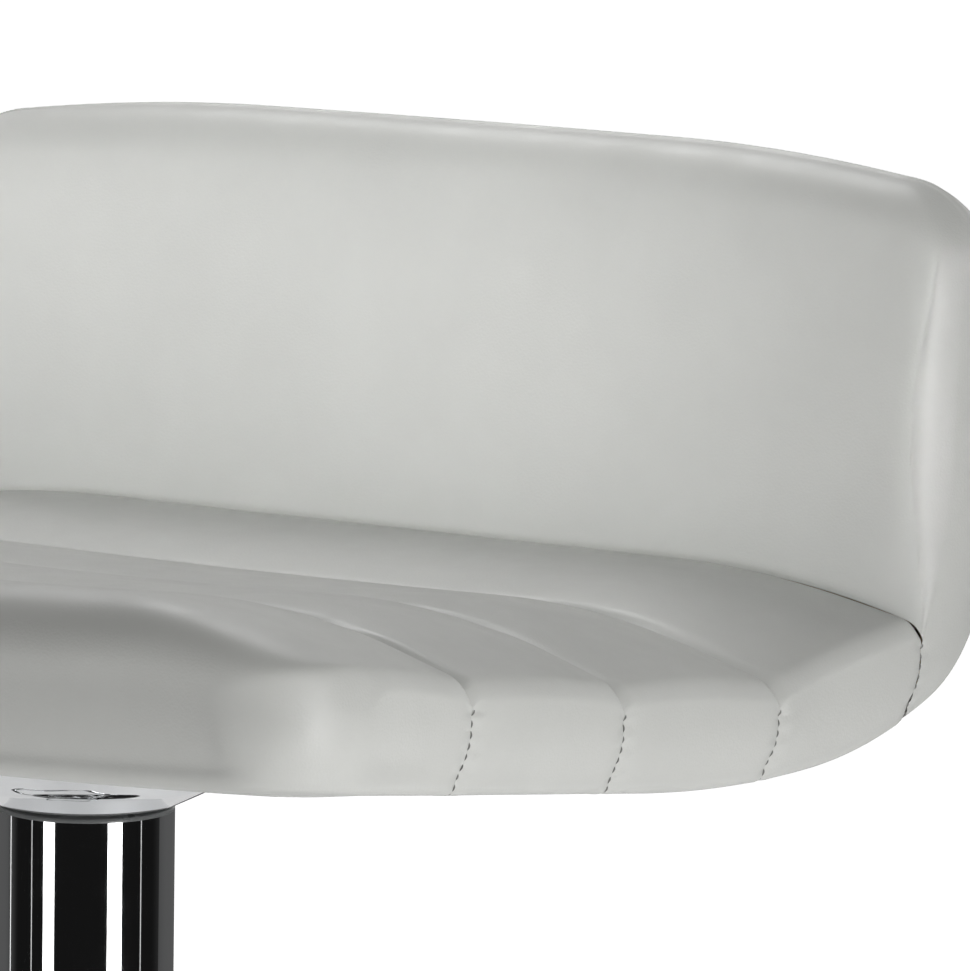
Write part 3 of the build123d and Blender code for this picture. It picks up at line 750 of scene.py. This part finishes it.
# ---------- materials ----------
class Finish:
    """A material under construction, on one Principled shader."""

    def __init__(self, name, roughness, metallic=0.0):
        self.material = bpy.data.materials.new(name)
        self.material.use_nodes = True
        self.nodes = self.material.node_tree.nodes
        self.links = self.material.node_tree.links
        self.shader = next(n for n in self.nodes if n.type == "BSDF_PRINCIPLED")
        self.shader.inputs["Roughness"].default_value = roughness
        self.shader.inputs["Metallic"].default_value = metallic
        self.place = self.nodes.new("ShaderNodeTexCoord").outputs["Object"]
        self.bumps = None

    def set(self, **values):
        for name, value in values.items():
            self.shader.inputs[name.replace("_", " ")].default_value = value
        return self

    def stretched(self, scale, turn=(0, 0, 0)):
        """Object coordinates with a scale of their own on each axis."""
        mapping = self.nodes.new("ShaderNodeMapping")
        mapping.inputs["Scale"].default_value = scale
        mapping.inputs["Rotation"].default_value = [math.radians(t) for t in turn]
        self.links.new(self.place, mapping.inputs["Vector"])
        return mapping.outputs["Vector"]

    def noise(self, scale, detail=3.0, rough=0.5, place=None):
        node = self.nodes.new("ShaderNodeTexNoise")
        node.inputs["Scale"].default_value = scale
        node.inputs["Detail"].default_value = detail
        node.inputs["Roughness"].default_value = rough
        self.links.new(place or self.place, node.inputs["Vector"])
        return node.outputs["Fac"]

    def cells(self, scale, feature="F1", place=None):
        node = self.nodes.new("ShaderNodeTexVoronoi")
        node.feature = feature
        node.inputs["Scale"].default_value = scale
        self.links.new(place or self.place, node.inputs["Vector"])
        return node.outputs["Distance"]

    def ranged(self, value, low, high, start=0.0, end=1.0):
        node = self.nodes.new("ShaderNodeMapRange")
        for name, number in (
            ("From Min", start),
            ("From Max", end),
            ("To Min", low),
            ("To Max", high),
        ):
            node.inputs[name].default_value = number
        self.links.new(value, node.inputs["Value"])
        return node.outputs["Result"]

    def colour(self, value, stops):
        """A colour ramp from (place, colour) stops, into the base colour."""
        ramp = self.nodes.new("ShaderNodeValToRGB")
        elements = ramp.color_ramp.elements
        while len(elements) < len(stops):
            elements.new(0.5)
        for element, (spot, rgb) in zip(elements, stops):
            element.position = spot
            element.color = (*rgb, 1.0)
        self.links.new(value, ramp.inputs["Fac"])
        self.links.new(ramp.outputs["Color"], self.shader.inputs["Base Color"])
        return self

    def tinted(self, value, rgb, spread):
        """A base colour that varies a little with a value."""
        low = [c * (1 - spread) for c in rgb]
        high = [min(1.0, c * (1 + spread)) for c in rgb]
        return self.colour(value, [(0.3, low), (0.7, high)])

    def roughness(self, value, low, high, start=0.3, end=0.7):
        self.links.new(
            self.ranged(value, low, high, start, end), self.shader.inputs["Roughness"]
        )
        return self

    def bump(self, height, distance, strength=1.0):
        node = self.nodes.new("ShaderNodeBump")
        node.inputs["Distance"].default_value = distance
        node.inputs["Strength"].default_value = strength
        self.links.new(height, node.inputs["Height"])
        if self.bumps:
            self.links.new(self.bumps, node.inputs["Normal"])
        self.bumps = node.outputs["Normal"]
        self.links.new(self.bumps, self.shader.inputs["Normal"])
        return self


def leatherette(name, rgb):
    """Embossed PVC leatherette: fine pebbles, faint upright lines and soft mottling."""
    made = Finish(name, 0.42).set(IOR=1.5)
    made.tinted(made.noise(26, 4, 0.6), rgb, 0.022)
    made.roughness(made.noise(60, 4, 0.6), 0.36, 0.5)
    made.bump(made.noise(9, 2), 0.004, 0.12)
    made.bump(made.noise(1.0, 3, 0.55, made.stretched((900, 900, 190))), 0.00025, 0.16)
    made.bump(made.cells(1150), 0.00022, 0.2)
    made.bump(made.noise(2600, 2), 0.0001, 0.15)
    return made.material


def chrome():
    """Polished chrome plate with fine hairlines and a trace of handling."""
    made = Finish("chrome", 0.04, 1.0)
    made.tinted(made.noise(30, 3), (0.80, 0.81, 0.82), 0.015)
    made.roughness(made.noise(45, 5, 0.65), 0.02, 0.075, 0.35, 0.75)
    made.bump(made.noise(1.0, 2, 0.5, made.stretched((1400, 1400, 9))), 0.00001, 0.05)
    return made.material


def turned_metal(name, rgb, low, high, grain, depth):
    """A machined or rolled metal with grain round its axis."""
    made = Finish(name, low, 1.0)
    made.tinted(made.noise(70, 4), rgb, 0.06)
    made.roughness(made.noise(120, 4), low, high)
    made.bump(made.noise(1.0, 3, 0.5, made.stretched(grain)), depth, 0.35)
    return made.material


def moulded(name, rgb, low, high, grain, depth):
    """A plastic or rubber with an even, faintly textured skin."""
    made = Finish(name, low)
    made.tinted(made.noise(40, 4), rgb, 0.1)
    made.roughness(made.noise(90, 3), low, high)
    made.bump(made.noise(grain, 3, 0.6), depth, 0.35)
    return made.material


def plywood():
    """Bent birch plywood: plies on the edges, long grain and flecks on the faces."""
    made = Finish("plywood", 0.6)
    grain = made.noise(1.0, 5, 0.6, made.stretched((260, 11, 260)))
    made.colour(
        grain,
        [(0.25, (0.36, 0.23, 0.12)), (0.5, (0.56, 0.4, 0.24)), (0.75, (0.68, 0.52, 0.34))],
    )
    made.roughness(grain, 0.5, 0.72)
    made.bump(grain, 0.0003, 0.3)
    return made.material


def casting():
    made = Finish("cast_iron", 0.8, 0.6)
    made.tinted(made.noise(80, 5), (0.07, 0.07, 0.075), 0.3)
    made.roughness(made.noise(50, 4), 0.65, 0.9)
    made.bump(made.noise(520, 5, 0.7), 0.0006, 0.6)
    return made.material


def open_foam():
    made = Finish("foam", 0.95)
    made.tinted(made.noise(60, 4), (0.78, 0.7, 0.5), 0.08)
    made.roughness(made.noise(200, 3), 0.85, 1.0)
    made.bump(made.cells(700), 0.0006, 0.6)
    return made.material


leather_grey = (0.62, 0.625, 0.6)
materials = {
    "leatherette": leatherette("leatherette", leather_grey),
    "foam": open_foam(),
    "chrome": chrome(),
    "plywood": plywood(),
    "steel": turned_metal("steel", (0.52, 0.52, 0.53), 0.2, 0.36, (60, 60, 1800), 0.00004),
    "zinc_steel": turned_metal("zinc_steel", (0.6, 0.6, 0.56), 0.3, 0.45, (500, 500, 500), 0.00005),
    "cylinder_paint": moulded("cylinder_paint", (0.018, 0.018, 0.019), 0.28, 0.4, 900, 0.00006),
    "aluminium": turned_metal("aluminium", (0.68, 0.69, 0.7), 0.25, 0.4, (60, 60, 1600), 0.00004),
    "cast_iron": casting(),
    "rubber": moulded("rubber", (0.02, 0.02, 0.02), 0.6, 0.8, 600, 0.0002),
    "black_plastic": moulded("black_plastic", (0.025, 0.025, 0.027), 0.4, 0.55, 1100, 0.0001),
    "grey_plastic": moulded("grey_plastic", (0.13, 0.135, 0.135), 0.25, 0.4, 900, 0.0001),
}


def coat(thing, material):
    """Gives a mesh one material."""
    thing.data.materials.clear()
    thing.data.materials.append(material)


# ---------- the pieces ----------
def upholstered(name, pad, swell, seam_lines, nodes):
    """Turns a sewn cover into its finished piece on the seat."""
    thing = make_object(name, pad.verts, pad.faces, pad.creases)
    inflate(thing, pad.pinned, cloth_pressure, swell)
    subdivide(thing, 2)
    pucker(thing, seam_lines)
    coat(thing, materials["leatherette"])
    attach(thing, "seat")
    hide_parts(*nodes)
    return thing


seat, seam_vertices = seat_pad()
side_lines = {
    name: to_frame(np.array([seat.verts[v] for v in line])) / MM
    for name, line in seam_vertices.items()
}
lines = list(side_lines.values())
upholstered("seat_pad", seat, seat_swell, lines, ("seat_cover", "seat_foam"))
back_lines = [line for name, line in side_lines.items() if name.startswith("3")]
upholstered("back_pad", back_pad(), back_swell, back_lines, ("back_cover", "back_foam"))

board = make_object("plywood_shell", *shell_board())
coat(board, materials["plywood"])
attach(board, "seat")
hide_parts("seat_shell")

panel_verts, panel_faces = cover_panel()
panel = make_object("cover_panel", panel_verts, panel_faces)
subdivide(panel, 1)
coat(panel, materials["leatherette"])
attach(panel, "seat")
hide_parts("outer_cover")

thread = moulded("thread", (0.22, 0.22, 0.21), 0.6, 0.8, 3000, 0.0001)
for name, line in side_lines.items():
    rel = line.copy()
    rel[:, 2] -= rim / MM
    row = stitches(f"stitches_{name}", rel)
    coat(row, thread)
    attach(row, "seat")

slot_of = {s["node"]: s["material_slot"] for s in frame["record"]["subparts"]}
for node, thing in frame["nodes"].items():
    coat(thing, materials[slot_of[node]])


# ---------- floor, light and camera ----------
def ring_mesh(name, inner, outer, sides=96):
    """A flat ring or disc on the floor."""
    angles = np.linspace(0, 2 * np.pi, sides, endpoint=False)
    circle = np.stack([np.sin(angles), np.cos(angles), np.zeros(sides)], axis=1)
    mesh = bpy.data.meshes.new(name)
    if inner:
        verts = np.concatenate([circle * inner, circle * outer])
        faces = [
            (k, (k + 1) % sides, sides + (k + 1) % sides, sides + k) for k in range(sides)
        ]
    else:
        verts, faces = circle * outer, [tuple(range(sides))[::-1]]
    mesh.from_pydata([tuple(v) for v in verts], [], faces)
    thing = bpy.data.objects.new(name, mesh)
    bpy.context.scene.collection.objects.link(thing)
    return thing


def pale(name, glow):
    made = Finish(name, 0.9)
    made.set(Base_Color=(0.85, 0.85, 0.85, 1.0), Specular_IOR_Level=0.1)
    made.set(Emission_Color=(1.0, 1.0, 1.0, 1.0), Emission_Strength=glow)
    return made.material


near_floor = 1.5
floor_disc = ring_mesh("floor", 0, near_floor)
coat(floor_disc, pale("floor", 0.3))
floor_far = ring_mesh("floor_far", near_floor, 60.0)
coat(floor_far, pale("floor_far", 0.95))
floor_far.visible_glossy = False
floor_far.visible_diffuse = False


def softbox(name, azimuth, distance, width, height, bottom, radiance, target=None, spread=180):
    """A softbox facing the stool: upright, or turned to a target; its grid sets the spread."""
    data = bpy.data.lights.new(name, "AREA")
    data.shape = "RECTANGLE"
    data.size, data.size_y = width, height
    data.energy = radiance * math.pi * width * height
    light = bpy.data.objects.new(name, data)
    a = math.radians(azimuth)
    light.location = (distance * math.sin(a), -distance * math.cos(a), bottom + height / 2)
    upright = Vector((0, 0, light.location.z))
    aim = (upright if target is None else Vector(target)) - light.location
    data.spread = math.radians(spread)
    light.rotation_mode = "QUATERNION"
    light.rotation_quaternion = aim.to_track_quat("-Z", "Y")
    light.visible_camera = False
    bpy.context.scene.collection.objects.link(light)
    return light


softbox("front_panel", -13, 1.6, 0.43, 1.9, -0.9, 2.9)
softbox("right_softbox", 73, 1.6, 0.53, 2.2, -0.9, 6.6)
softbox("key_softbox", 0, 1.6, 0.6, 0.24, 1.3, 0.78, (-0.12, 0.2, rim + 0.15), 12)
softbox("rear_softbox", 215, 1.6, 1.0, 0.5, 2.15, 9.5, (0, 0, rim + 0.1))
softbox("left_strip", -77, 1.6, 0.045, 1.7, -0.9, 1.2)
softbox("front_strip", -38, 1.6, 0.03, 1.3, -0.9, 1.0)
softbox("rear_strip", 111, 1.6, 0.03, 1.7, -0.9, 1.0)


def studio_world():
    """A dim room with a white backdrop behind the stool, and nothing bright overhead."""
    world = bpy.data.worlds.new("studio")
    bpy.context.scene.world = world
    world.use_nodes = True
    nodes, links = world.node_tree.nodes, world.node_tree.links
    background = next(n for n in nodes if n.type == "BACKGROUND")
    place = nodes.new("ShaderNodeTexCoord").outputs["Generated"]

    def ramped(direction, low, high, start, end):
        """Grey from low to high as the view turns towards a direction."""
        dot = nodes.new("ShaderNodeVectorMath")
        dot.operation = "DOT_PRODUCT"
        dot.inputs[1].default_value = direction
        links.new(place, dot.inputs[0])
        ranged = nodes.new("ShaderNodeMapRange")
        ranged.interpolation_type = "SMOOTHSTEP"
        for name, number in (
            ("From Min", start),
            ("From Max", end),
            ("To Min", low),
            ("To Max", high),
        ):
            ranged.inputs[name].default_value = number
        links.new(dot.outputs["Value"], ranged.inputs["Value"])
        return ranged.outputs["Result"]

    def times(a, b):
        node = nodes.new("ShaderNodeMath")
        node.operation = "MULTIPLY"
        links.new(a, node.inputs[0])
        links.new(b, node.inputs[1])
        return node.outputs["Value"]

    a = math.radians(camera_azimuth)
    behind = ramped((-math.sin(a), math.cos(a), 0), 0.08, 1.0, 0.1, 0.6)
    above_floor = ramped((0, 0, 1), 0.1, 1.0, -0.05, 0.0)
    below_top = ramped((0, 0, 1), 1.0, 0.1, 0.35, 0.7)
    links.new(times(times(behind, above_floor), below_top), background.inputs["Color"])


camera_azimuth = 35.0
studio_world()

camera_elevation = 10.7
camera_distance = 2.5
camera_aim = Vector((0.12375, 0.04356, 0.1118))
camera_lens = 284.55
camera_roll = 0.9


def camera():
    """A long lens in front of the stool's left, a little above the seat."""
    data = bpy.data.cameras.new("camera")
    data.lens = camera_lens
    data.sensor_width = 36.0
    data.clip_end = 200.0
    thing = bpy.data.objects.new("camera", data)
    bpy.context.scene.collection.objects.link(thing)
    a, e = math.radians(camera_azimuth), math.radians(camera_elevation)
    top = Vector((0, 0, rim))
    away = Vector((math.sin(a) * math.cos(e), -math.cos(a) * math.cos(e), math.sin(e)))
    spot = top + away * camera_distance
    ahead = (top + camera_aim - spot).normalized()
    turn = Matrix.Rotation(math.radians(-camera_roll), 4, ahead)
    look = turn @ ahead.to_track_quat("-Z", "Y").to_matrix().to_4x4()
    thing.matrix_world = Matrix.Translation(spot) @ look
    bpy.context.scene.camera = thing


camera()
bpy.context.scene.view_settings.view_transform = "Standard"
